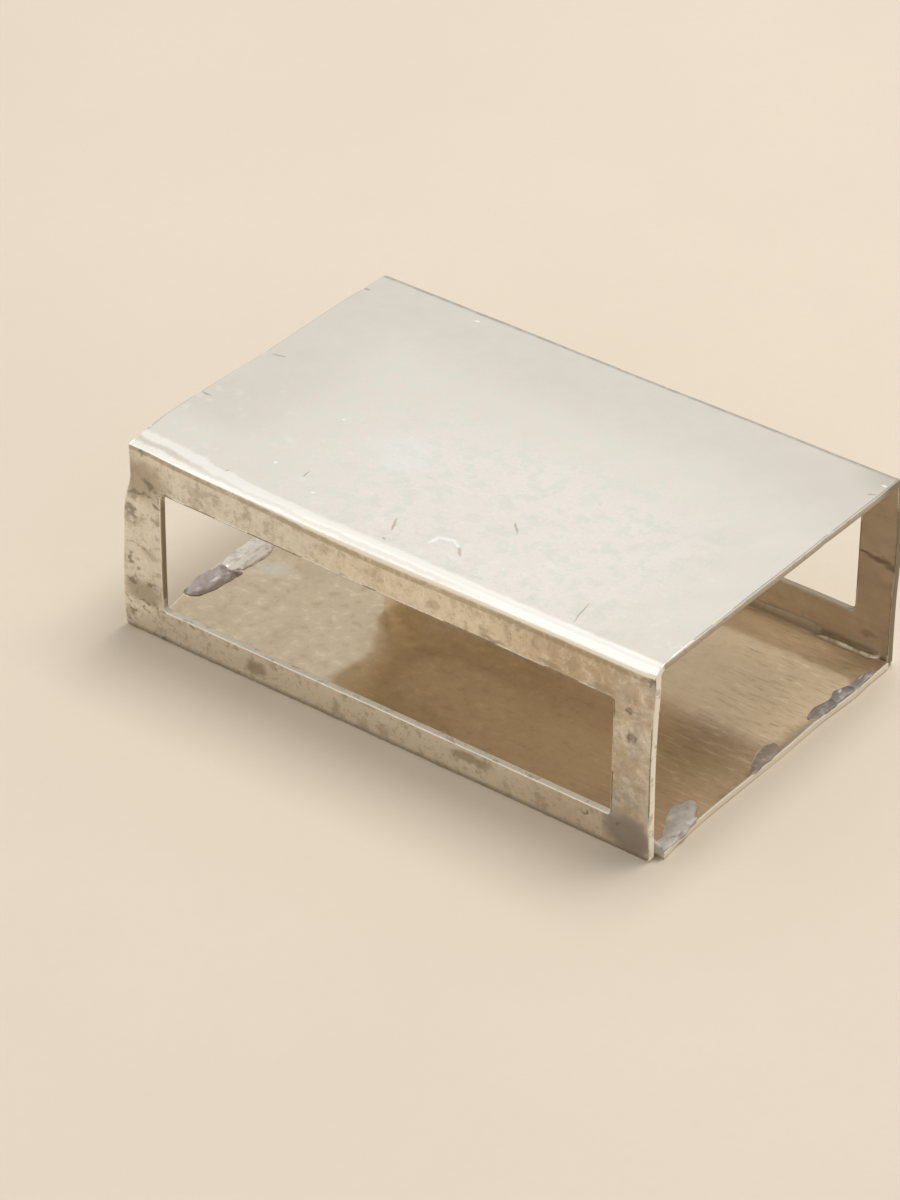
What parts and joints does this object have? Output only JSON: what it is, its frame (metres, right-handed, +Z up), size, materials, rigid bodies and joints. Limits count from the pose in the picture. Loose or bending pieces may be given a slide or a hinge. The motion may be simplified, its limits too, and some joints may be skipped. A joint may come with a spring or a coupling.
{
  "type": "matchbox slip cover",
  "caption": "Short silver sleeve, open at both ends, with a long window in each side wall, that slips over a small box of matches.",
  "frame": {"origin": "under the middle of the bounding box, on the surface that the sleeve stands on", "axes": "+X along the sleeve towards its right open end, +Y towards the far wall, +Z up"},
  "size_m": [0.0598, 0.0378, 0.0202],
  "materials": {
    "cover_silver": "worn satin silver with warm tarnish on the walls",
    "plate_silver": "satin silver with a warm tarnish",
    "seam_solder": "smooth bright solder",
    "lump_solder": "dull grey soft solder"
  },
  "bodies": {
    "root": {"cover_sheet": "cover_silver", "base_plate": "plate_silver", "near_seam_solder": "seam_solder", "far_seam_solder": "seam_solder", "corner_solder_lump": "lump_solder", "small_solder_drop": "lump_solder", "right_edge_solder_lump": "lump_solder", "left_edge_solder_lump": "lump_solder"}
  },
  "joints": []
}
